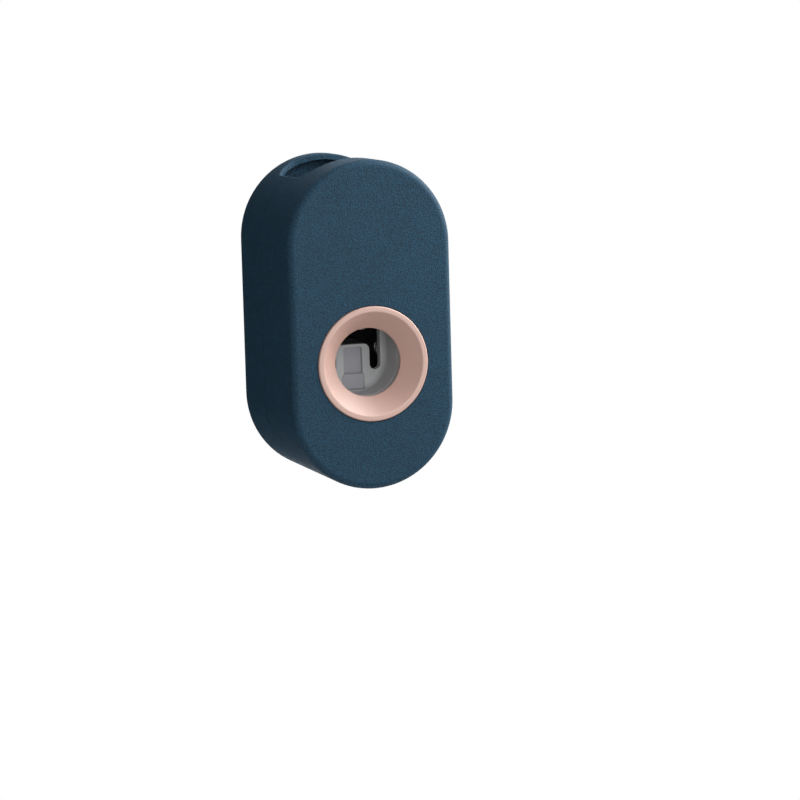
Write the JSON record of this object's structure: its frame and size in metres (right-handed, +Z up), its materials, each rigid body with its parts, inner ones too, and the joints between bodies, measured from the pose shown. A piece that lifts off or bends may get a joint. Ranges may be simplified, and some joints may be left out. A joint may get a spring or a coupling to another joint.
{
  "type": "toothpaste dispenser",
  "caption": "Wall-hung toothpaste dispenser: capsule casing with a top opening for the tube and a ringed brush mouth whose sprung pusher works a bellows pump.",
  "frame": {"origin": "centre of the adhesive pad's wall side", "axes": "+Y into the wall, so the front faces -Y; +Z up; +X to the right as seen from the front"},
  "size_m": [0.062, 0.0625, 0.12],
  "materials": {
    "casing_blue": "fine matt texture",
    "rose_trim": "satin rose metallic paint",
    "grey_plastic": "fine matt texture",
    "pad_grey": "matt",
    "black_plastic": "matt",
    "silicone": "satin",
    "steel": "drawn",
    "black_rubber": "satin",
    "dark_steel": "blackened",
    "tape": "foam"
  },
  "bodies": {
    "wall_bracket": {"wall_plate": "black_plastic", "adhesive_pad": "tape"},
    "casing": {"rear_shell": "casing_blue", "front_shell": "casing_blue", "trim_ring": "rose_trim", "case_screws": "steel", "pump_body": "black_plastic", "mount_screws": "dark_steel", "duct_gasket": "silicone", "duct_cover": "black_plastic", "pump_screws": "dark_steel", "bellows": "black_rubber", "bellows_clamp": "black_plastic", "guide_rods": "steel", "rod_clips": "steel", "return_spring_right": "steel", "return_spring_left": "steel", "neck_seal": "silicone", "seal_collar": "black_plastic", "inlet_valve": "silicone", "outlet_valve": "silicone", "nozzle": "black_plastic"},
    "pusher": {"pusher": "grey_plastic", "push_pad": "pad_grey"}
  },
  "joints": [
    {"name": "lift_off", "type": "slide", "parent": "wall_bracket", "child": "casing", "axis": [0, 0, 1], "range_m": [0, 0.012]},
    {"name": "push", "type": "slide", "parent": "casing", "child": "pusher", "axis": [0, 1, 0], "range_m": [0, 0.01], "stiffness_N_per_m": 400, "springref_m": -0.008, "deforming": ["bellows", "return_spring_right", "return_spring_left"]}
  ]
}
